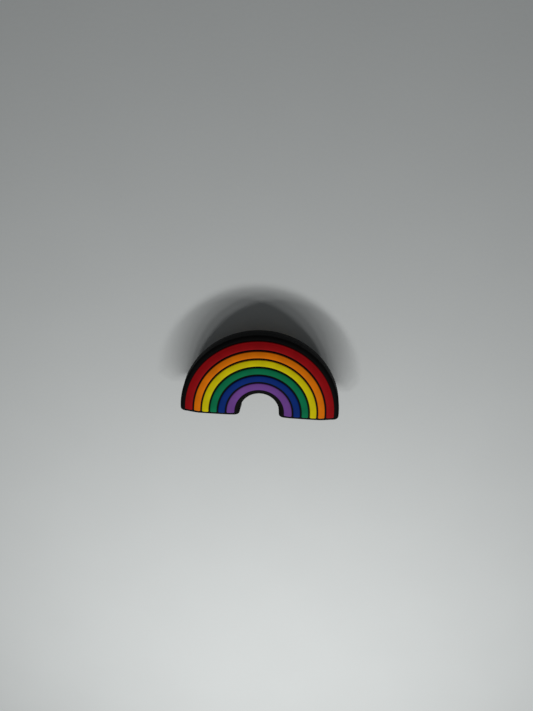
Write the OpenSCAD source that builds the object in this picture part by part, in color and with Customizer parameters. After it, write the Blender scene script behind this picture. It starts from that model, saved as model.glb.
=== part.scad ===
// Rainbow pin badge in moulded soft PVC, with a grooved post and a butterfly clutch.
// The badge lies face up on its clutch: +Z leaves the face, +Y runs from the legs to the arch's top.
// Origin: centre of the outline, at the height of the wing tips that the badge stands on.

/* [Badge] */
// Width across the legs, at the back
badge_w = 32; // [26:0.5:44]
// Clear width between the legs, at the back
leg_gap = 7.5; // [6.5:0.25:10]
// Length of the straight legs below the arch's centre
leg_drop = 1; // [0.8:0.1:4]
// Thickness from the crown of the face to the back
badge_t = 4.4; // [3.8:0.1:7]
// Thickness of the backing layer
backing_t = 1.5; // [1.2:0.1:1.8]
// How far the face falls from its crown to the outermost band's edge
crown_drop = 0.9; // [0.2:0.1:1]
// How far the crown line lies inside the middle of the arch
crown_in = 0.9; // [0:0.1:1.5]
// How far the side wall leans in from the back to the shoulder
wall_draft = 0.15; // [0:0.05:0.3]
// Height of the rounded shoulder between the rim and the side wall
shoulder_h = 0.55; // [0.2:0.05:0.8]
// Length over which the face rounds down to the leg ends
leg_fall_l = 1.9; // [1.2:0.1:2]
// Radius of that rounding
leg_fall_r = 6; // [3:0.5:12]
// Radius of the four leg corners
corner_r = 0.75; // [0.3:0.05:1]

/* [Colour bands] */
// Width of the black rim, from the back's outline to the first band
rim_w = 1.16; // [0.8:0.02:1.4]
// Width of the red band and of the purple band
edge_band_w = 1.56; // [1:0.02:1.8]
// Width of the black line between two bands
groove_w = 0.32; // [0.2:0.02:0.5]
// How far the bands stand above the black lines
band_rise = 0.25; // [0.1:0.05:0.4]
// Radius along a band's upper edges
band_edge_r = 0.2; // [0.1:0.02:0.3]
// Thickness of the black web under the bands
web_t = 0.6; // [0.4:0.1:0.8]
// Thickness of the black wall past the bands' ends
end_wall = 0.6; // [0.4:0.05:0.7]

/* [Post] */
// Diameter of the post
post_d = 1.2; // [1:0.05:1.4]
// Length of the post that stands out of the back
post_l = 3.8; // [3.4:0.1:3.9]
// Diameter of the collar that anchors the post in the backing
collar_d = 1.6; // [1.5:0.1:2]
// How far the post stands inside the middle of the arch's width
post_in = 0.3; // [0:0.1:0.6]
// Length of the post's point
tip_l = 0.5; // [0.4:0.1:1]
// Depth of the two grooves in the post
ring_depth = 0.2; // [0.1:0.05:0.3]
// Width of each groove
ring_w = 0.6; // [0.3:0.05:0.6]
// Diameter of the flange moulded into the backing
flange_d = 8; // [6:0.5:9.5]
// Thickness of the flange
flange_t = 0.5; // [0.4:0.1:0.6]
// Diameter of the holes that key the flange into the backing
key_d = 1.2; // [0.8:0.1:1.6]
// Number of those holes
key_count = 6; // [3:1:8]

/* [Clutch] */
// Room for cloth between the badge's back and the clutch
cloth_gap = 1.1; // [0.8:0.1:2]
// Diameter of the clutch
clutch_d = 11.2; // [9.4:0.1:13.4]
// Thickness of the plate
plate_t = 0.35; // [0.25:0.05:0.4]
// Thickness of the cap and of the wings
sheet_t = 0.3; // [0.25:0.01:0.32]
// Width of the rolled rim that holds the cap
crimp_w = 0.35; // [0.3:0.05:0.4]
// Width of the rolled rim's lip under the cap's flange
lip_w = 0.4; // [0.3:0.05:0.5]
// Width of the cap's flange seen inside the lip
cap_ledge_w = 0.65; // [0.55:0.05:0.75]
// Width of the deck between the dome and a wing's window
deck_land = 0.75; // [0.6:0.05:0.9]
// Radius that rounds the dome
dome_round = 0.8; // [0.5:0.05:0.8]
// How far the dome stays above the wing tips
dome_lift = 0.7; // [0.5:0.1:1]
// Width of a wing outside the cap
wing_w = 7; // [5:0.2:8]
// Width of a wing's frame inside the cap
frame_w = 4.4; // [4:0.1:4.6]
// Width of a frame's bar beside the ear
ear_bar_w = 1.3; // [1:0.1:1.4]
// How far the jaw's straight edge stays behind the post's axis
jaw_back = 0.15; // [0.1:0.05:0.3]
// Gap that a bow spring spans, from one wing's frame to the other's ear
spring_room = 1.7; // [1.5:0.05:1.8]
// Straight length of a wing between the cap and its curl
wing_straight = 0.35; // [0.2:0.05:0.5]
// How far each wing travels when it is squeezed
squeeze = 0.6; // [0.5:0.05:0.7]
// Thickness of the bow springs' strip
strip_t = 0.12; // [0.08:0.02:0.2]

/* [Clearances] */
// Radial clearance between the post and the plate's hole
hole_clear = 0.15; // [0.1:0.05:0.25]
// Radial clearance between the post and the jaws
jaw_clear = 0.03; // [0.02:0.01:0.05]
// Gap between flat sheets that slide on each other
slide_gap = 0.05; // [0.04:0.01:0.06]
// Gap at the ends of the bow springs
spring_gap = 0.02; // [0.01:0.01:0.03]
// Side clearance of a wing in its window
window_clear = 0.15; // [0.1:0.05:0.2]
// Clearance between a wing's ear and the lip
ear_clear = 0.3; // [0.25:0.05:0.4]
// Room beside the post in a wing's opening
post_pass = 0.5; // [0.3:0.05:0.7]
// Room between the post's tip and the dome
tip_room = 0.2; // [0.1:0.05:0.4]

/* [Hidden] */
$fn = 96;
// Overshoot that carries a cut clear through a face
cut = 1;
// Lift that keeps the leg ends' rounding from grazing the crown
fall_lift = 0.05;

// Outline at the back
back_r = badge_w / 2;
back_in_r = leg_gap / 2;
y_mid = (back_r - leg_drop) / 2;
post_y = (back_r + back_in_r) / 2 - post_in;

// Heights
post_tip_w = post_l - cloth_gap;
dome_w = post_tip_w + tip_room + sheet_t;
clutch_h = dome_w + dome_lift;
clutch_top = clutch_h;
back_z = clutch_top + cloth_gap;
joint_z = back_z + backing_t;
floor_z = joint_z + web_t;
crown_z = back_z + badge_t;

// Radii of the colour bands, from the innermost to the outermost
bands_in_r = back_in_r + rim_w;
bands_out_r = back_r - rim_w;
band_count = 6;
crown_r = (bands_in_r + bands_out_r) / 2 - crown_in;
mid_band_w = (bands_out_r - bands_in_r - 2 * edge_band_w - (band_count - 1) * groove_w) / (band_count - 2);
function band_w(i) = i == 0 || i == band_count - 1 ? edge_band_w : mid_band_w;
function band_in_r(i) = i == 0 ? bands_in_r : band_out_r(i - 1) + groove_w;
function band_out_r(i) = band_in_r(i) + band_w(i);

// Height of the crowned face, and of the black lines, at radius r
function face_z(r) = crown_z - crown_drop * pow((r - crown_r) / (bands_out_r - crown_r), 2);
function line_z(r) = face_z(r) - band_rise;

// Rounded shoulder from a band's side (r, line_z) to the top of the side wall
shoulder_step = 15;
function shoulder(r, wall_r) = [
  for (a = [0 : shoulder_step : 90])
    [r + (wall_r - r) * sin(a), line_z(r) - shoulder_h * (1 - cos(a))]
];
function reversed(list) = [for (i = [len(list) - 1 : -1 : 0]) list[i]];

// Where the leaning side walls stand at height z
function wall_lean(z) = wall_draft * (z - back_z) / (line_z(bands_out_r) - shoulder_h - back_z);
out_shoulder = shoulder(bands_out_r, back_r - wall_draft);
in_shoulder = shoulder(bands_in_r, back_in_r + wall_draft);

// Section of the front body with its six channels, or with its top closed
function channel(i) = [
  [band_in_r(i), line_z(band_in_r(i))], [band_in_r(i), floor_z],
  [band_out_r(i), floor_z], [band_out_r(i), line_z(band_out_r(i))]
];
function closed_top(i) = [for (t = [0, 0.5, 1]) let (r = band_in_r(i) + t * band_w(i)) [r, line_z(r)]];
function body_section(open) = concat(
  [[back_in_r + wall_lean(joint_z), joint_z]],
  reversed(in_shoulder),
  [
    for (i = [0 : band_count - 1])
      for (p = open ? channel(i) : closed_top(i))
        if (i > 0 || p != in_shoulder[0]) p
  ],
  [for (i = [1 : len(out_shoulder) - 1]) out_shoulder[i]],
  [[back_r - wall_lean(joint_z), joint_z]]
);
backing_section = [
  [back_in_r, back_z], [back_in_r + wall_lean(joint_z), joint_z],
  [back_r - wall_lean(joint_z), joint_z], [back_r, back_z]
];

// Section of a colour band, rounded along its two upper edges
edge_step = 30;
top_steps = 4;
function band_section(i) = let (r0 = band_in_r(i), r1 = band_out_r(i), e = band_edge_r) concat(
  [[r1, floor_z]],
  [for (a = [0 : edge_step : 90]) [r1 - e + e * cos(a), face_z(r1 - e) - e + e * sin(a)]],
  [for (k = [1 : top_steps - 1]) let (r = r1 - e - (r1 - r0 - 2 * e) * k / top_steps) [r, face_z(r)]],
  [for (a = [0 : edge_step : 90]) [r0 + e - e * sin(a), face_z(r0 + e) - e + e * cos(a)]],
  [[r0, floor_z]]
);

// Clutch, measured in depth w below the clutch's upper face
rim_r = clutch_d / 2;
lip_r = rim_r - crimp_w - lip_w;
flange_w0 = plate_t;
flange_w1 = flange_w0 + crimp_w;
frame_low_w = plate_t + 2 * slide_gap;
frame_high_w = frame_low_w + sheet_t + slide_gap;
deck_w = frame_high_w + sheet_t + slide_gap;
deck_out_w = deck_w + sheet_t;
ear_end_w = deck_out_w + slide_gap;
function to_hundredth(v) = round(100 * v) / 100;
ear_x = to_hundredth(sqrt(pow(lip_r, 2) - pow(frame_w / 2, 2)) - sheet_t - ear_clear);
far_x = spring_room - ear_x;
opening_x = ear_x - ear_bar_w;
opening_w = post_d + 2 * post_pass;
window_x = ear_x - squeeze - window_clear;
cap_wall_r = lip_r - cap_ledge_w;
dome_r = window_x - deck_land;
curl_w = clutch_h - sheet_t / 2;
curl_r = curl_w - ear_end_w - wing_straight;
spring_r = spring_room - 2 * spring_gap;
ring_pitch = (post_tip_w - tip_l) / 2;

// Sweeps a section round the arch and a length l down both legs
module sweep(section, l) {
  rotate_extrude(angle = 180) polygon(section);
  if (l > 0)
    for (side = [0, 1])
      mirror([side, 0, 0]) rotate([90, 0, 0]) linear_extrude(l) polygon(section);
}

// Puts what is drawn about the arch's centre into the part's frame
module from_arch() {
  translate([0, -y_mid, 0]) children();
}

// Puts what is drawn about the post's axis into the part's frame, with the wings along X
module from_clutch() {
  translate([0, post_y - y_mid, clutch_top]) children();
}

// Cuts the four leg corners round, seen from the face
module corner_cuts() {
  for (side = [0, 1])
    mirror([side, 0, 0]) {
      corner_cut(back_r, -1);
      corner_cut(back_in_r, 1);
    }
}
module corner_cut(r, way) {
  translate([r + way * corner_r, -leg_drop + corner_r, back_z - cut])
    difference() {
      translate([way > 0 ? -corner_r - cut : 0, -corner_r - cut, 0])
        cube([corner_r + cut, corner_r + cut, badge_t + 2 * cut]);
      translate([0, 0, -cut]) cylinder(r = corner_r, h = badge_t + 4 * cut);
    }
}

// All that lies above the rounding of the leg ends, for a face whose crown is at height top_z
module leg_fall(top_z) {
  translate([-back_r - cut, leg_fall_l - leg_drop, top_z + fall_lift - leg_fall_r]) difference() {
    translate([0, -leg_fall_l - cut, 0]) cube([badge_w + 2 * cut, leg_fall_l + cut, leg_fall_r + cut]);
    rotate([0, 90, 0]) cylinder(r = leg_fall_r, h = badge_w + 2 * cut);
  }
}

// Black front layer with the six channels
module front_body() {
  color("#151515") from_arch() difference() {
    union() {
      sweep(body_section(true), leg_drop - end_wall);
      for (side = [0, 1])
        mirror([side, 0, 0]) translate([0, end_wall - leg_drop, 0]) rotate([90, 0, 0])
          linear_extrude(end_wall) polygon(body_section(false));
    }
    corner_cuts();
    leg_fall(crown_z - band_rise);
  }
}

// Black backing layer, poured round the post's flange
module backing() {
  color("#1c1c1c") from_arch() difference() {
    sweep(backing_section, leg_drop);
    corner_cuts();
    translate([0, post_y, 0]) {
      difference() {
        translate([0, 0, joint_z - flange_t]) cylinder(d = flange_d, h = flange_t + cut);
        key_pegs();
      }
      translate([0, 0, back_z - cut]) cylinder(d = collar_d, h = badge_t);
    }
  }
}
module key_pegs() {
  for (i = [0 : key_count - 1])
    rotate([0, 0, i * 360 / key_count]) translate([(flange_d + collar_d) / 4, 0, joint_z - flange_t - cut])
      cylinder(d = key_d, h = flange_t + 2 * cut);
}

// One colour band, between its channel's walls
module band(i, shade) {
  color(shade) from_arch() difference() {
    sweep(band_section(i), leg_drop - end_wall);
    leg_fall(crown_z);
  }
}
module purple_band() { band(0, "#6d4a96"); }
module blue_band() { band(1, "#0c3580"); }
module green_band() { band(2, "#0a7a50"); }
module yellow_band() { band(3, "#cfc30c"); }
module orange_band() { band(4, "#e07c08"); }
module red_band() { band(5, "#a3141f"); }

// Flange that anchors the post, with holes that the backing fills
module post_flange() {
  color("#b9b9b4") from_arch() translate([0, post_y, 0]) difference() {
    translate([0, 0, joint_z - flange_t]) cylinder(d = flange_d, h = flange_t);
    key_pegs();
    translate([0, 0, back_z]) cylinder(d = collar_d, h = badge_t);
  }
}

// Post with its collar, its two grooves and its point, turned in one piece
module post() {
  r = post_d / 2;
  color("#c8c8c4") from_clutch() rotate_extrude() polygon(concat(
    [[0, cloth_gap + backing_t], [collar_d / 2, cloth_gap + backing_t]],
    [[collar_d / 2, cloth_gap], [r, cloth_gap]],
    [for (i = [0, 1]) for (p = [[r, 0], [r - ring_depth, 0], [r - ring_depth, -ring_w], [r, -ring_w]])
      [p[0], p[1] - i * ring_pitch]],
    [[r, tip_l - post_tip_w], [0, -post_tip_w]]
  ));
}

// Plate with the rolled rim that holds the cap
module clutch_plate() {
  color("#c9a24d") from_clutch() rotate_extrude() polygon([
    [post_d / 2 + hole_clear, 0], [rim_r, 0], [rim_r, -flange_w1 - sheet_t], [lip_r, -flange_w1 - sheet_t],
    [lip_r, -flange_w1], [rim_r - crimp_w, -flange_w1], [rim_r - crimp_w, -plate_t],
    [post_d / 2 + hole_clear, -plate_t]
  ]);
}

// Domed cap with a window on each side for the wings
module clutch_cap() {
  inner_r = dome_r - sheet_t;
  color("#c9a24d") from_clutch() difference() {
    rotate_extrude() polygon(concat(
      [[rim_r - crimp_w, -flange_w0], [rim_r - crimp_w, -flange_w1], [cap_wall_r, -flange_w1]],
      [[cap_wall_r, -deck_out_w], [dome_r, -deck_out_w]],
      dome_arc(dome_r, dome_w, dome_round),
      reversed(dome_arc(inner_r, dome_w - sheet_t, dome_round - sheet_t)),
      [[inner_r, -deck_w], [cap_wall_r - sheet_t, -deck_w], [cap_wall_r - sheet_t, -flange_w0]]
    ));
    for (side = [0, 1])
      mirror([side, 0, 0])
        translate([window_x, -frame_w / 2 - window_clear, -deck_out_w - cut])
          cube([rim_r, frame_w + 2 * window_clear, deck_out_w + cut]);
  }
}
function dome_arc(r, w, round_r) = concat(
  [for (a = [0 : shoulder_step : 90]) [r - round_r + round_r * cos(a), -w + round_r - round_r * sin(a)]],
  [[0, -w]]
);

// One wing: a frame whose far bar is the jaw, and an ear that ends in the curled blade
module wing(frame_w0) {
  difference() {
    union() {
      translate([far_x, -frame_w / 2, -frame_w0 - sheet_t])
        cube([ear_x + sheet_t / 2 - far_x, frame_w, sheet_t]);
      translate([ear_x, -frame_w / 2, -ear_end_w - wing_straight / 2])
        cube([sheet_t, frame_w, ear_end_w + wing_straight / 2 - frame_low_w]);
    }
    translate([-jaw_back, -opening_w / 2, -deck_w]) cube([opening_x + jaw_back, opening_w, deck_w]);
    translate([0, 0, -deck_w]) cylinder(r = post_d / 2 + jaw_clear, h = deck_w);
  }
  translate([ear_x + sheet_t / 2 + curl_r, 0, -curl_w + curl_r]) curled_blade(curl_r + sheet_t / 2);
}
module curled_blade(outer_r) {
  translate([-outer_r, -wing_w / 2, 0]) cube([sheet_t, wing_w, wing_straight]);
  intersection() {
    rotate([90, 0, 0]) difference() {
      cylinder(r = outer_r, h = wing_w, center = true);
      cylinder(r = outer_r - sheet_t, h = wing_w + cut, center = true);
    }
    translate([-outer_r, -wing_w / 2, -outer_r]) cube([outer_r, wing_w, outer_r]);
  }
}
module right_wing() { color("#d4af5a") from_clutch() wing(frame_low_w); }
module left_wing() { color("#d4af5a") from_clutch() mirror([1, 0, 0]) wing(frame_high_w); }

// Bow spring between one wing's frame and the other wing's ear
module bow_spring(frame_w0) {
  translate([far_x - spring_gap, 0, -frame_w0 - sheet_t + slide_gap / 2]) rotate([0, 0, 90])
    rotate_extrude(angle = 180)
      translate([spring_r - strip_t, 0]) square([strip_t, sheet_t - slide_gap]);
}
module left_bow_spring() { color("#8f9296") from_clutch() bow_spring(frame_low_w); }
module right_bow_spring() { color("#8f9296") from_clutch() mirror([1, 0, 0]) bow_spring(frame_high_w); }

front_body();
backing();
purple_band();
blue_band();
green_band();
yellow_band();
orange_band();
red_band();
post_flange();
post();
clutch_plate();
clutch_cap();
right_wing();
left_wing();
right_bow_spring();
left_bow_spring();
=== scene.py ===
import math

import bpy
from mathutils import Matrix, Vector


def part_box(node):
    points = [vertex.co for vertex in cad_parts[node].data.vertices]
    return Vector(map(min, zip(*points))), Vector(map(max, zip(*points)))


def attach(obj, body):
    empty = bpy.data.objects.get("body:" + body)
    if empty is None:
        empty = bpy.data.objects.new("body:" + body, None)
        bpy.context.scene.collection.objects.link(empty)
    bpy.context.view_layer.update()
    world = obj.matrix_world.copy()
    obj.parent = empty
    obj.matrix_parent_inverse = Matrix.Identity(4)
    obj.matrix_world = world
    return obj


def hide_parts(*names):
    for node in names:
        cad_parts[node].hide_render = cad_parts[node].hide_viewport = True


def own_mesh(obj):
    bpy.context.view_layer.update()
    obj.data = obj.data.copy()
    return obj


bl_info = {
    "name": "Rainbow Pin Badge",
    "version": (1, 0, 0),
    "blender": (4, 5, 0),
    "location": "3D View > Sidebar > Badge",
    "description": "Models a rainbow pin badge in soft PVC, with its post and butterfly clutch",
    "category": "Add Mesh",
}

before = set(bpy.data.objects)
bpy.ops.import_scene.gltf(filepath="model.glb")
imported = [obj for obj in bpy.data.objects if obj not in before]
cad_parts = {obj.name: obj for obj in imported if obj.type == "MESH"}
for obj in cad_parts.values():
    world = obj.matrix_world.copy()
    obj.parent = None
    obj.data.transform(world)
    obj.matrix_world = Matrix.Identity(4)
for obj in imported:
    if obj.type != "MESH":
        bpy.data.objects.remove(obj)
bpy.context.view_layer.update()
MM = 0.001

BANDS = ("purple", "blue", "green", "yellow", "orange", "red")

# Places taken from the frame
BACK_LOW, BACK_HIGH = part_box("backing")
ARCH_R = BACK_HIGH.x
ARCH_Y = BACK_HIGH.y - ARCH_R
LEG_END_Y = BACK_LOW.y
BACK_Z = BACK_LOW.z
JOINT_Z = BACK_HIGH.z
BAND_OUT_R = [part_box(name + "_band")[1].x for name in BANDS]
BAND_END_Y, FLOOR_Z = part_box("red_band")[0].yz
CROWN_Z = max(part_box(name + "_band")[1].z for name in BANDS)
POST_LOW, POST_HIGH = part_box("post")
POST_Y = (POST_LOW.y + POST_HIGH.y) / 2

# Share of the walls' draft that is reached at the seam
SEAM_LEAN = 0.55


def length(label, text, value):
    """A size that a user may change, in metres."""
    return bpy.props.FloatProperty(
        name=label, description=text, default=value, unit="LENGTH", precision=5)


def tint(label, text, value):
    """A colour that a user may change."""
    return bpy.props.FloatVectorProperty(
        name=label, description=text, default=value, subtype="COLOR", size=3, min=0, max=1)


class BadgeSizes(bpy.types.PropertyGroup):
    """Sizes of the moulded badge that its box doesn't give."""
    groove: length("Black line", "Width of the black line between two bands", 0.32 * MM)
    inner_band: length("Inner band", "Width of the purple band", 1.56 * MM)
    crown_shift: length("Crown shift", "How far the crown lies inside the middle of the bands", 0.9 * MM)
    crown_fall: length("Crown fall", "Fall of the face from its crown to the outermost edge", 0.9 * MM)
    band_rise: length("Band rise", "How far the bands stand above the black lines", 0.25 * MM)
    band_sag: length("Band roundness", "Fall of a band's surface from its middle to its edges", 0.07 * MM)
    band_edge: length("Band edge", "Radius along a band's upper edges", 0.2 * MM)
    shoulder: length("Shoulder", "Height of the rounded shoulder", 0.55 * MM)
    draft: length("Draft", "How far the side wall leans in", 0.15 * MM)
    corner: length("Leg corner", "Radius of the leg corners", 0.75 * MM)
    end_round: length("Leg end edge", "Radius along the upper edge of a leg's end", 0.35 * MM)
    back_edge: length("Back edge", "Radius along the back's outline", 0.22 * MM)
    seam: length("Seam", "Radius along the seam between the two black layers", 0.05 * MM)
    fall_length: length("Leg fall", "Length over which the face rounds down to the leg ends", 1.9 * MM)
    fall_radius: length("Leg fall radius", "Radius of that rounding", 6 * MM)


class ClutchSizes(bpy.types.PropertyGroup):
    """Sizes of the bow springs that their boxes don't give."""
    squeeze: length("Squeeze", "Travel of each wing", 0.6 * MM)
    strip: length("Spring strip", "Thickness of a bow spring", 0.12 * MM)
    edge: length("Strip edge", "Radius along the strip's edges", 0.04 * MM)


class BadgeColours(bpy.types.PropertyGroup):
    """Colours of the badge and its metal parts."""
    purple: tint("Purple", "Colour of the innermost band", (0.122, 0.044, 0.220))
    blue: tint("Blue", "Colour of the second band", (0.001, 0.019, 0.145))
    green: tint("Green", "Colour of the third band", (0.001, 0.135, 0.054))
    yellow: tint("Yellow", "Colour of the fourth band", (0.520, 0.450, 0.001))
    orange: tint("Orange", "Colour of the fifth band", (0.600, 0.145, 0.001))
    red: tint("Red", "Colour of the outermost band", (0.240, 0.003, 0.005))
    black: tint("Black", "Colour of the black face", (0.0025, 0.0025, 0.0027))
    # The wall colour is the black PVC made paler: a painted reflection of the table on the side walls and
    # the back
    wall_painted_reflection: tint("Wall", "Colour of the cast side walls and of the back", (0.0150, 0.0155, 0.0160))
    brass: tint("Brass", "Colour of the clutch", (0.780, 0.560, 0.240))
    nickel: tint("Nickel", "Colour of the post", (0.640, 0.620, 0.580))
    spring: tint("Spring", "Colour of the bow springs", (0.430, 0.440, 0.460))
    floor: tint("Floor", "Colour of the table", (0.500, 0.525, 0.530))


# Materials
PVC_IOR = 1.50
PVC_GRAIN_DEPTH = 0.004 * MM
PRESSED_RING_DEPTH = 0.003 * MM
TABLE_GRAIN_DEPTH = 0.010 * MM
# Heights below the crown over which the side walls fade into their painted reflection of the table
PAINTED_REFLECTION_START = 1.4 * MM
PAINTED_REFLECTION_FULL = 2.0 * MM
CLUTCH_TARNISH = (0.33, 0.19, 0.075)
WING_TARNISH = (0.36, 0.21, 0.08)


# ---------------------------------------------------------------- shader maths


class Wire:
    """A shader value on which Python's operators add Math nodes."""

    def __init__(self, tree, socket):
        self.tree = tree
        self.socket = socket

    def maths(self, operation, *values):
        return add_node(self.tree, "ShaderNodeMath", {"operation": operation}, dict(enumerate(values)))

    def __add__(self, other):
        return self.maths("ADD", self, other)

    def __radd__(self, other):
        return self.maths("ADD", other, self)

    def __sub__(self, other):
        return self.maths("SUBTRACT", self, other)

    def __rsub__(self, other):
        return self.maths("SUBTRACT", other, self)

    def __mul__(self, other):
        return self.maths("MULTIPLY", self, other)

    def __rmul__(self, other):
        return self.maths("MULTIPLY", other, self)

    def __pow__(self, other):
        return self.maths("POWER", self, other)


def add_node(tree, kind, settings=None, inputs=None, output=0):
    """Adds a node: its settings first, then the values or links of its sockets."""
    node = tree.nodes.new(kind)
    for key, value in (settings or {}).items():
        if key == "stops":
            set_stops(node.color_ramp, value)
        else:
            setattr(node, key, value)
    for key, value in (inputs or {}).items():
        if isinstance(value, Wire):
            tree.links.new(value.socket, node.inputs[key])
        else:
            node.inputs[key].default_value = value
    return Wire(tree, node.outputs[output])


def set_stops(ramp, stops):
    """Sets a colour ramp's stops from (position, grey) pairs."""
    while len(ramp.elements) < len(stops):
        ramp.elements.new(1)
    for element, (place, grey) in zip(ramp.elements, stops):
        element.position = place
        element.color = (grey, grey, grey, 1)


def mix_colour(tree, factor, first, second):
    """Mixes two colours; each is a tuple or a Wire."""
    def four(colour):
        return colour if isinstance(colour, Wire) else (*colour, 1)
    node = tree.nodes.new("ShaderNodeMix")
    node.data_type = "RGBA"
    for key, value in ((0, factor), (6, four(first)), (7, four(second))):
        if isinstance(value, Wire):
            tree.links.new(value.socket, node.inputs[key])
        else:
            node.inputs[key].default_value = value
    return Wire(tree, node.outputs[2])


def shade(colour, factor):
    """A colour made lighter or darker, as numbers."""
    return tuple(min(1, part * factor) for part in colour)


def place_on_piece(tree, centre=(0, 0, 0)):
    """Object coordinates, counted from a point on the piece."""
    where = add_node(tree, "ShaderNodeTexCoord", output=3)
    shift = tuple(-part for part in centre)
    return add_node(
        tree, "ShaderNodeMapping", {"vector_type": "POINT"}, {"Vector": where, "Location": shift})


def noise(tree, where, per_metre, detail=3, rough=0.5):
    """Noise with so many cells in a metre."""
    return add_node(tree, "ShaderNodeTexNoise", {}, {
        "Vector": where, "Scale": per_metre, "Detail": detail, "Roughness": rough})


def ramp(tree, value, *stops):
    """A value put through a grey ramp."""
    return add_node(tree, "ShaderNodeValToRGB", {"stops": stops}, {"Fac": value})


def bump(tree, height, depth):
    """A normal bumped by a height from 0 to 1 that stands for so many metres."""
    return add_node(tree, "ShaderNodeBump", {}, {"Height": height, "Distance": depth})


def new_material(name, fixed, varying):
    """A Principled material: fixed socket values, and varying ones made from the material's tree."""
    material = bpy.data.materials.new(name)
    material.use_nodes = True
    tree = material.node_tree
    shader = tree.nodes["Principled BSDF"]
    for key, value in fixed.items():
        shader.inputs[key].default_value = value
    for key, wire in varying(tree).items():
        tree.links.new(wire.socket, shader.inputs[key])
    return material


def painted_reflection_mask(tree, where):
    """A mask of the side walls, where their painted reflection of the table goes: 0 on the face, 1 well
    below its crown.
    """
    level = add_node(tree, "ShaderNodeSeparateXYZ", {}, {"Vector": where}, output=2)
    return add_node(tree, "ShaderNodeMapRange", {}, {
        "Value": level, "From Min": CROWN_Z - PAINTED_REFLECTION_FULL, "From Max": CROWN_Z - PAINTED_REFLECTION_START,
        "To Min": 1, "To Max": 0})


def soft_pvc(name, colour, rough=0.62, gloss_level=0.035, grain=1.0, painted_reflection_colour=None):
    """Moulded soft PVC: flow clouds, grain, dust specks, patchy gloss and, if asked for, side walls made
    paler by a painted reflection of the table.
    """
    def varying(tree):
        where = place_on_piece(tree)
        clouds = noise(tree, where, 420, 4, 0.55)
        fine = noise(tree, where, 5200, 2, 0.6)
        dust = ramp(tree, noise(tree, where, 2600, 1, 0.4), (0.70, 0), (0.76, 1))
        flow = ramp(tree, clouds, (0.35, 0), (0.70, 1))
        body = mix_colour(tree, flow, shade(colour, 0.90), shade(colour, 1.08))
        # Side walls get a paler colour: a painted reflection of the table
        if painted_reflection_colour:
            body = mix_colour(tree, painted_reflection_mask(tree, where), body, painted_reflection_colour)
        dusty = tuple(0.85 * part + 0.012 for part in colour)
        relief = fine * 0.6 + clouds * 0.4
        return {
            "Base Color": mix_colour(tree, dust * 0.30, body, dusty),
            "Roughness": rough - 0.05 + clouds * 0.10 + fine * 0.06,
            "Normal": bump(tree, relief, PVC_GRAIN_DEPTH * grain),
        }
    fixed = {"IOR": PVC_IOR, "Specular IOR Level": gloss_level}
    return new_material(name, fixed, varying)


def turned_metal(name, colour, tarnish, centre, rough, rings_per_metre):
    """Pressed or turned metal: rings about an axis, fine scratches, and darker tarnish in patches."""
    def varying(tree):
        where = place_on_piece(tree, centre)
        times = {"operation": "MULTIPLY"}
        flat = add_node(tree, "ShaderNodeVectorMath", times, {0: where, 1: (1, 1, 0)})
        far = add_node(tree, "ShaderNodeVectorMath", {"operation": "LENGTH"}, {0: flat}, output=1)
        rings = noise(tree, add_node(tree, "ShaderNodeCombineXYZ", {}, {"X": far}), rings_per_metre, 2)
        patches = noise(tree, where, 380, 5, 0.62)
        stretched = add_node(tree, "ShaderNodeVectorMath", times, {0: where, 1: (1, 0.06, 1)})
        scratches = ramp(tree, noise(tree, stretched, 9000, 1, 0.5), (0.62, 0), (0.72, 1))
        worn = ramp(tree, patches, (0.42, 0), (0.72, 1))
        return {
            "Base Color": mix_colour(tree, worn * 0.65, colour, tarnish),
            "Roughness": rough + worn * 0.16 + scratches * 0.08,
            "Normal": bump(tree, rings * 0.5 + scratches * 0.3, PRESSED_RING_DEPTH),
        }
    return new_material(name, {"Metallic": 1.0}, varying)


def table_top(name, colour):
    """Pale matt table top with a faint paper-like grain."""
    def varying(tree):
        where = place_on_piece(tree)
        clouds = noise(tree, where, 60, 4, 0.5)
        grain = noise(tree, where, 1500, 3, 0.6)
        mottle = clouds * 0.6 + grain * 0.4
        return {
            "Base Color": mix_colour(tree, mottle, shade(colour, 0.965), shade(colour, 1.035)),
            "Normal": bump(tree, grain, TABLE_GRAIN_DEPTH),
        }
    return new_material(name, {"Roughness": 0.62, "Specular IOR Level": 0.25}, varying)


# ---------------------------------------------------------------- modelling helpers


def deselect():
    """Leaves edit mode and clears the selection."""
    if bpy.context.mode != "OBJECT":
        bpy.ops.object.mode_set(mode="OBJECT")
    bpy.ops.object.select_all(action="DESELECT")


def activate(obj):
    """Makes one object the only selected and the active one."""
    deselect()
    obj.select_set(True)
    bpy.context.view_layer.objects.active = obj


def draw_face(name, points):
    """Adds a face: a vertex is extruded along the points and the outline filled. Stays in edit mode."""
    deselect()
    bpy.ops.mesh.primitive_plane_add(size=MM, location=points[0])
    obj = bpy.context.object
    obj.name = name
    bpy.ops.object.transform_apply(location=True, rotation=True, scale=True)
    bpy.ops.object.mode_set(mode="EDIT")
    bpy.ops.mesh.select_mode(type="VERT")
    bpy.ops.mesh.select_all(action="SELECT")
    bpy.ops.mesh.merge(type="CENTER")
    for before, after in zip(points, points[1:]):
        step = Vector(after) - Vector(before)
        bpy.ops.mesh.extrude_region_move(TRANSFORM_OT_translate={"value": step})
    bpy.ops.mesh.select_all(action="SELECT")
    bpy.ops.mesh.edge_face_add()
    bpy.ops.mesh.select_mode(type="FACE")
    bpy.ops.mesh.select_all(action="SELECT")
    return obj


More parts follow.
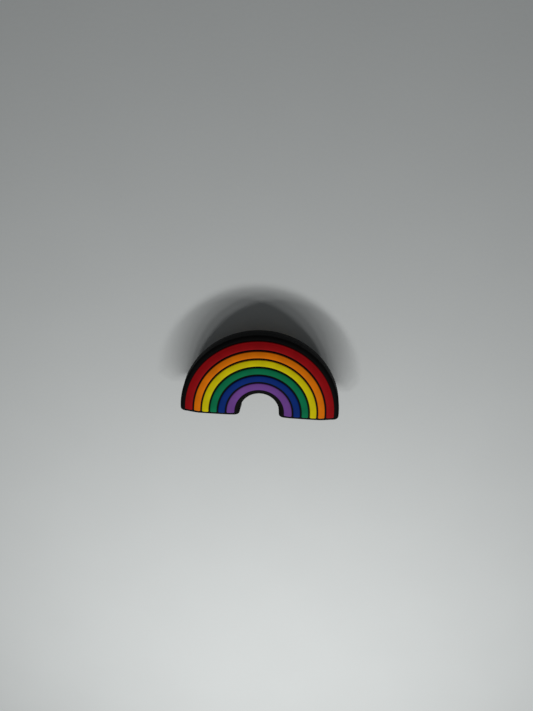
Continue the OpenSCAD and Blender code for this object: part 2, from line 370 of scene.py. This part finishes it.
def finish_mesh(obj, smooth_angle=35):
    """Closes the mesh's seams, turns its faces outwards, shades it smooth and leaves edit mode."""
    bpy.ops.object.mode_set(mode="EDIT")
    bpy.ops.mesh.select_all(action="SELECT")
    bpy.ops.mesh.remove_doubles(threshold=0.0005 * MM)
    bpy.ops.mesh.normals_make_consistent(inside=False)
    bpy.ops.object.mode_set(mode="OBJECT")
    activate(obj)
    bpy.ops.object.shade_smooth_by_angle(angle=math.radians(smooth_angle))
    return obj


def set_modifier(obj, kind, **settings):
    """Adds a modifier with its settings and applies it."""
    activate(obj)
    modifier = obj.modifiers.new(kind.title(), kind)
    for key, value in settings.items():
        setattr(modifier, key, value)
    bpy.ops.object.modifier_apply(modifier=modifier.name)


def cut_away(obj, cutter):
    """Cuts one closed mesh out of another and removes the cutter."""
    set_modifier(obj, "BOOLEAN", operation="DIFFERENCE", solver="EXACT", object=cutter)
    bpy.data.objects.remove(cutter)


def hand_over(obj, material, body, slot, *nodes):
    """Gives a finished piece its material and body and hides the CAD nodes that it stands for. The slot
    argument is not used.
    """
    obj.data.materials.clear()
    obj.data.materials.append(material)
    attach(obj, body)
    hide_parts(*nodes)


def copy_of_node(node):
    """A closed copy of a CAD node's mesh, with its loose triangles merged."""
    deselect()
    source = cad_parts[node]
    copy = bpy.data.objects.new(node + "_copy", source.data.copy())
    bpy.context.scene.collection.objects.link(copy)
    activate(copy)
    finish_mesh(copy)
    return copy


def set_material(node, material):
    """Gives a CAD node a material."""
    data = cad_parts[node].data
    data.materials.clear()
    data.materials.append(material)


# ---------------------------------------------------------------- badge shape


def band_in_r(sizes, i):
    """Inner radius of band i."""
    return BAND_OUT_R[0] - sizes.inner_band if i == 0 else BAND_OUT_R[i - 1] + sizes.groove


def gap_r(sizes):
    """Radius of the gap between the legs, at the back."""
    rim = ARCH_R - BAND_OUT_R[-1]
    return band_in_r(sizes, 0) - rim


def face_z(sizes, r):
    """Height of the crowned face at a radius."""
    first, last = band_in_r(sizes, 0), BAND_OUT_R[-1]
    crown_r = (first + last) / 2 - sizes.crown_shift
    return CROWN_Z - sizes.crown_fall * ((r - crown_r) / (last - crown_r)) ** 2


def leg_drop_at(sizes, y):
    """How far the crown falls at a place near the leg ends."""
    reach = LEG_END_Y + sizes.fall_length - y
    if reach <= 0:
        return 0
    return sizes.fall_radius - math.sqrt(max(0, sizes.fall_radius ** 2 - reach ** 2))


def arc(centre, radii, start, stop, steps):
    """Points on an arc in a section, as (radius, height)."""
    turns = [math.radians(start + (stop - start) * k / steps) for k in range(steps + 1)]
    return [(centre[0] + radii[0] * math.cos(t), centre[1] + radii[1] * math.sin(t)) for t in turns]


def band_section(sizes, i):
    """Section of a colour band: domed across, with rounded upper edges."""
    low, high = band_in_r(sizes, i), BAND_OUT_R[i]
    middle, half, edge = (low + high) / 2, (high - low) / 2, sizes.band_edge

    def top(r):
        return face_z(sizes, r) - sizes.band_sag * ((r - middle) / half) ** 2
    across = [high - edge - (high - low - 2 * edge) * k / 8 for k in range(1, 8)]
    return (
        [(high, FLOOR_Z)]
        + arc((high - edge, top(high - edge) - edge), (edge, edge), 0, 90, 5)
        + [(r, top(r)) for r in across]
        + arc((low + edge, top(low + edge) - edge), (edge, edge), 90, 180, 5)
        + [(low, FLOOR_Z)]
    )


def seam_radii(sizes):
    """Outer and inner radius of the two black layers where they meet."""
    lean = SEAM_LEAN * sizes.draft
    return ARCH_R - lean, gap_r(sizes) + lean


def body_section(sizes):
    """Section of the black front layer, with its channels still filled."""
    first, last, inner = band_in_r(sizes, 0), BAND_OUT_R[-1], gap_r(sizes)
    rise, seam = sizes.band_rise, sizes.seam
    out_top, in_top = face_z(sizes, last) - rise, face_z(sizes, first) - rise
    out_wall, in_wall = ARCH_R - sizes.draft, inner + sizes.draft
    lines = [r + sizes.groove / 2 for r in BAND_OUT_R[:-1]]
    middles = [(band_in_r(sizes, i) + BAND_OUT_R[i]) / 2 for i in range(len(BANDS))]
    across = sorted(lines + middles, reverse=True)
    out_foot, in_foot = seam_radii(sizes)
    return (
        [(out_foot - seam, JOINT_Z), (out_foot, JOINT_Z + seam)]
        + arc((last, out_top - sizes.shoulder), (out_wall - last, sizes.shoulder), 0, 90, 12)
        + [(r, face_z(sizes, r) - rise) for r in across]
        + arc((first, in_top - sizes.shoulder), (first - in_wall, sizes.shoulder), 90, 180, 12)
        + [(in_foot, JOINT_Z + seam), (in_foot + seam, JOINT_Z)]
    )


def backing_section(sizes):
    """Section of the black backing layer, rounded along the back's outline."""
    inner, edge, seam = gap_r(sizes), sizes.back_edge, sizes.seam
    out_top, in_top = seam_radii(sizes)
    return (
        arc((inner + edge, BACK_Z + edge), (edge, edge), 180, 270, 5)
        + arc((ARCH_R - edge, BACK_Z + edge), (edge, edge), 270, 360, 5)
        + [(out_top, JOINT_Z - seam), (out_top - seam, JOINT_Z)]
        + [(in_top + seam, JOINT_Z), (in_top, JOINT_Z - seam)]
    )


def end_steps(corner, edge, width, height, count=7):
    """How a leg's section grows from its end: (distance from the end, share of width, share of height)."""
    steps = []
    for k in range(count + 1):
        turn = math.pi / 2 * k / count
        back = corner * (1 - math.cos(turn))
        side = corner * (1 - math.sin(turn))
        lift = edge - math.sqrt(edge ** 2 - (edge - back) ** 2) if back < edge else 0
        steps.append((back, 1 - 2 * side / width, 1 - lift / height))
    return steps


def sweep_arch(name, section, end_y, base_z, corner, edge, turns=120):
    """Sweeps a section up one leg, round the arch and down the other leg, with rounded leg ends."""
    radii = [r for r, z in section]
    tallest = max((z for r, z in section), key=lambda z: abs(z - base_z))
    middle, width = (min(radii) + max(radii)) / 2, max(radii) - min(radii)
    steps = end_steps(corner, edge, width, abs(tallest - base_z))
    wide, tall = steps[0][1:]
    start = [(middle + (r - middle) * wide, end_y, base_z + (z - base_z) * tall) for r, z in section]
    obj = draw_face(name, start)

    def grow(old, new, side):
        (old_back, old_wide, old_tall), (back, wide, tall) = old, new
        step = side * abs(back - old_back)
        bpy.ops.mesh.extrude_region_move(TRANSFORM_OT_translate={"value": (0, step, 0)})
        bpy.ops.transform.resize(
            value=(wide / old_wide, 1, tall / old_tall),
            center_override=(side * middle, end_y + back, base_z))
    for old, new in zip(steps, steps[1:]):
        grow(old, new, 1)
    straight = ARCH_Y - end_y - steps[-1][0]
    bpy.ops.mesh.extrude_region_move(TRANSFORM_OT_translate={"value": (0, straight, 0)})
    bpy.ops.mesh.spin(steps=turns, angle=math.pi, center=(0, ARCH_Y, 0), axis=(0, 0, -1))
    bpy.ops.mesh.extrude_region_move(TRANSFORM_OT_translate={"value": (0, -straight, 0)})
    for old, new in zip(reversed(steps), list(reversed(steps))[1:]):
        grow(old, new, -1)
    return obj


def let_legs_fall(obj, sizes, base_z):
    """Rounds the face down towards the leg ends with a weighted Displace modifier."""
    deselect()
    group = obj.vertex_groups.new(name="leg_end_fall")
    most = leg_drop_at(sizes, LEG_END_Y)
    for vertex in obj.data.vertices:
        x, y, z = vertex.co
        drop = leg_drop_at(sizes, y)
        if drop <= 0 or z <= base_z:
            continue
        r = math.hypot(x, max(0, y - ARCH_Y))
        low, high = band_in_r(sizes, 0), BAND_OUT_R[-1]
        surface = face_z(sizes, min(max(r, low), high))
        excess = max(0, surface - (CROWN_Z - drop))
        share = min(1, (z - base_z) / (surface - sizes.band_rise - base_z))
        if excess > 0:
            group.add([vertex.index], min(1, excess * share / most), "REPLACE")
    set_modifier(obj, "DISPLACE", direction="Z", mid_level=0, strength=-most, vertex_group=group.name)
    obj.vertex_groups.clear()


class BADGE_OT_front_body(bpy.types.Operator):
    """Adds the black front layer with its six channels"""
    bl_idname = "badge.front_body"
    bl_label = "Front Body"

    def execute(self, context):
        sizes = context.scene.badge_sizes
        section = body_section(sizes)
        body = sweep_arch(
            "front_body_pvc", section, LEG_END_Y, JOINT_Z, sizes.corner, sizes.end_round)
        finish_mesh(body)
        for i in range(len(BANDS)):
            low, high = band_in_r(sizes, i), BAND_OUT_R[i]
            channel = [(low, FLOOR_Z), (high, FLOOR_Z), (high, CROWN_Z + MM), (low, CROWN_Z + MM)]
            corner = sizes.band_edge / 2
            cutter = sweep_arch("channel", channel, BAND_END_Y, FLOOR_Z, corner, corner / 2)
            finish_mesh(cutter)
            cut_away(body, cutter)
            finish_mesh(body)
        let_legs_fall(body, sizes, FLOOR_Z)
        finish_mesh(body, smooth_angle=40)
        colours = context.scene.badge_colours
        # The front layer's side walls get the painted reflection of the table
        pvc = soft_pvc("black_pvc", colours.black, grain=1.3, painted_reflection_colour=tuple(colours.wall_painted_reflection))
        hand_over(body, pvc, "badge", "black_pvc", "front_body")
        return {"FINISHED"}


class BADGE_OT_bands(bpy.types.Operator):
    """Adds the six coloured bands"""
    bl_idname = "badge.bands"
    bl_label = "Colour Bands"

    def execute(self, context):
        sizes, colours = context.scene.badge_sizes, context.scene.badge_colours
        for i, name in enumerate(BANDS):
            edge = sizes.band_edge
            band = sweep_arch(name + "_band_pvc", band_section(sizes, i), BAND_END_Y, FLOOR_Z, edge, edge)
            finish_mesh(band)
            let_legs_fall(band, sizes, FLOOR_Z)
            pvc = soft_pvc(name + "_pvc", getattr(colours, name))
            hand_over(band, pvc, "badge", name + "_pvc", name + "_band")
        return {"FINISHED"}


class BADGE_OT_backing(bpy.types.Operator):
    """Adds the black backing layer, moulded round the post's flange"""
    bl_idname = "badge.backing"
    bl_label = "Backing"

    def execute(self, context):
        sizes = context.scene.badge_sizes
        section = backing_section(sizes)
        back = sweep_arch(
            "backing_pvc", section, LEG_END_Y, JOINT_Z, sizes.corner, sizes.back_edge)
        finish_mesh(back)
        for node in ("post_flange", "post"):
            cut_away(back, copy_of_node(node))
        finish_mesh(back)
        # The whole backing takes the wall colour: black PVC made paler by a painted reflection of the
        # table
        wall_painted_reflection = context.scene.badge_colours.wall_painted_reflection
        pvc = soft_pvc("black_pvc_back", wall_painted_reflection, rough=0.66, gloss_level=0.08, grain=2.2)
        hand_over(back, pvc, "badge", "black_pvc_back", "backing")
        return {"FINISHED"}


# ---------------------------------------------------------------- post and clutch


class BADGE_OT_post(bpy.types.Operator):
    """Gives the post and its flange their metal"""
    bl_idname = "badge.post"
    bl_label = "Post"

    def execute(self, context):
        nickel = context.scene.badge_colours.nickel
        metal = turned_metal("nickel", nickel, shade(nickel, 0.62), (0, POST_Y, 0), 0.26, 9000)
        for node in ("post", "post_flange"):
            set_material(node, metal)
        return {"FINISHED"}


def rounded_box(low_r, high_r, low_z, high_z, edge):
    """Section of a strip with rounded corners, as (radius, height)."""
    corners = ((high_r - edge, low_z + edge, 270), (high_r - edge, high_z - edge, 0),
               (low_r + edge, high_z - edge, 90), (low_r + edge, low_z + edge, 180))
    return [point for r, z, start in corners for point in arc((r, z), (edge, edge), start, start + 90, 3)]


class BADGE_OT_clutch(bpy.types.Operator):
    """Gives the clutch's plate, cap, wings and springs their metal"""
    bl_idname = "badge.clutch"
    bl_label = "Clutch"

    def execute(self, context):
        colours = context.scene.badge_colours
        brass, steel = colours.brass, colours.spring
        centre = (0, POST_Y, 0)
        pressed = turned_metal("brass", brass, CLUTCH_TARNISH, centre, 0.24, 5200)
        wing = turned_metal("wing_brass", shade(brass, 1.05), WING_TARNISH, centre, 0.22, 3000)
        strip = turned_metal("spring_steel", steel, shade(steel, 0.5), centre, 0.30, 8000)
        for node in ("clutch_plate", "clutch_cap"):
            set_material(node, pressed)
        for node in ("right_wing", "left_wing"):
            set_material(node, wing)
        sizes = context.scene.clutch_sizes
        for side, hand in ((1, "right"), (-1, "left")):
            self.bow_spring(sizes, side, hand, strip)
        return {"FINISHED"}

    def bow_spring(self, sizes, side, hand, material):
        """A strip bent into a bow. On the real clutch it flattens as the wings are squeezed; this strip
        keeps its shape.
        """
        node = hand + "_bow_spring"
        low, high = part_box(node)
        foot_x = low.x if side > 0 else high.x
        radius = high.x - low.x
        middle_y, edge = (low.y + high.y) / 2, sizes.edge
        section = rounded_box(radius - sizes.strip, radius, low.z, high.z, edge)
        spring = draw_face(node + "_strip", [(foot_x, middle_y + r, z) for r, z in section])
        bpy.ops.mesh.spin(steps=40, angle=math.pi, center=(foot_x, middle_y, 0), axis=(0, 0, side))
        finish_mesh(spring)
        hand_over(spring, material, "clutch", "spring_steel", node)
        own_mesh(spring)


# ---------------------------------------------------------------- stage


CAMERA_PLACE = Vector((2.90, 41.89, 103.11)) * MM
CAMERA_AIM = Vector((0.681, 1.248, 0)) * MM
CAMERA_ROLL = math.radians(3.025)
CAMERA_LENS = 27.04

# The lamps stand in a row whose ends bend towards the badge by LAMP_BOW
LAMP_ROW = 8
LAMP_HEIGHT = 148 * MM
LAMP_Y = -134 * MM
LAMP_FROM_X = -63 * MM
LAMP_TO_X = 90 * MM
LAMP_BOW = 50 * MM
LAMP_AIM_Y = -40 * MM
LAMP_SIZE = 22 * MM
LAMP_POWER = 0.043
LAMP_COLOUR = (1.0, 0.985, 0.965)

ROOM_COLOUR = (0.95, 0.98, 1.0)
ROOM_STRENGTH = 0.110
TABLE_SIZE = 1.6


class BADGE_OT_stage(bpy.types.Operator):
    """Adds the table top, the row of lamps, the dim room and the camera"""
    bl_idname = "badge.stage"
    bl_label = "Stage"

    def execute(self, context):
        deselect()
        bpy.ops.mesh.primitive_plane_add(size=TABLE_SIZE)
        floor = context.object
        floor.name = "table_top"
        floor.data.materials.append(table_top("table_top", context.scene.badge_colours.floor))
        for k in range(LAMP_ROW):
            x = LAMP_FROM_X + (LAMP_TO_X - LAMP_FROM_X) * k / (LAMP_ROW - 1)
            share = 2 * k / (LAMP_ROW - 1) - 1
            self.lamp(k, Vector((x, LAMP_Y + LAMP_BOW * share ** 2, LAMP_HEIGHT)))
        self.room(context)
        self.camera(context)
        context.scene.view_settings.view_transform = "Standard"
        return {"FINISHED"}

    def room(self, context):
        """The dim, even light of the room."""
        world = bpy.data.worlds.new("dim_room")
        world.use_nodes = True
        background = world.node_tree.nodes["Background"]
        background.inputs["Color"].default_value = (*ROOM_COLOUR, 1)
        background.inputs["Strength"].default_value = ROOM_STRENGTH
        context.scene.world = world

    def lamp(self, k, place):
        """One small soft lamp of the row, aimed at the badge."""
        light = bpy.data.lights.new(f"lamp_{k}", "AREA")
        light.shape = "DISK"
        light.size = LAMP_SIZE
        light.energy = LAMP_POWER
        light.color = LAMP_COLOUR
        lamp = bpy.data.objects.new(light.name, light)
        bpy.context.scene.collection.objects.link(lamp)
        lamp.location = place
        aim = Vector((0, LAMP_AIM_Y, 0)) - place
        lamp.rotation_euler = aim.to_track_quat("-Z", "Y").to_euler()

    def camera(self, context):
        """The camera, from its place, the point that it aims at and its roll."""
        data = bpy.data.cameras.new("camera")
        data.lens = CAMERA_LENS
        data.sensor_width = 36
        data.clip_start = 0.005
        camera = bpy.data.objects.new("camera", data)
        context.scene.collection.objects.link(camera)
        back = (CAMERA_PLACE - CAMERA_AIM).normalized()
        right = Vector((0, 1, 0)).cross(back).normalized()
        turn = Matrix((right, back.cross(right), back)).transposed().to_4x4()
        roll = Matrix.Rotation(CAMERA_ROLL, 4, "Z")
        camera.matrix_world = Matrix.Translation(CAMERA_PLACE) @ turn @ roll
        context.scene.camera = camera


class BADGE_PT_sidebar(bpy.types.Panel):
    """Sidebar panel with the badge's steps, sizes and colours"""
    bl_idname = "BADGE_PT_sidebar"
    bl_label = "Rainbow Pin Badge"
    bl_space_type = "VIEW_3D"
    bl_region_type = "UI"
    bl_category = "Badge"

    def draw(self, context):
        for operator in STEPS:
            self.layout.operator(operator.bl_idname)
        for name in GROUPS:
            box = self.layout.box()
            for key in GROUPS[name].__annotations__:
                box.prop(getattr(context.scene, name), key)


STEPS = (
    BADGE_OT_stage, BADGE_OT_front_body, BADGE_OT_bands, BADGE_OT_backing, BADGE_OT_post, BADGE_OT_clutch)
GROUPS = {"badge_sizes": BadgeSizes, "clutch_sizes": ClutchSizes, "badge_colours": BadgeColours}


def register():
    for group in GROUPS.values():
        bpy.utils.register_class(group)
    for name, group in GROUPS.items():
        setattr(bpy.types.Scene, name, bpy.props.PointerProperty(type=group))
    for operator in STEPS:
        bpy.utils.register_class(operator)
    bpy.utils.register_class(BADGE_PT_sidebar)


def unregister():
    bpy.utils.unregister_class(BADGE_PT_sidebar)
    for operator in reversed(STEPS):
        bpy.utils.unregister_class(operator)
    for name in GROUPS:
        delattr(bpy.types.Scene, name)
    for group in GROUPS.values():
        bpy.utils.unregister_class(group)


def main():
    register()
    for operator in STEPS:
        group, name = operator.bl_idname.split(".")
        getattr(getattr(bpy.ops, group), name)()


if __name__ == "__main__":
    main()
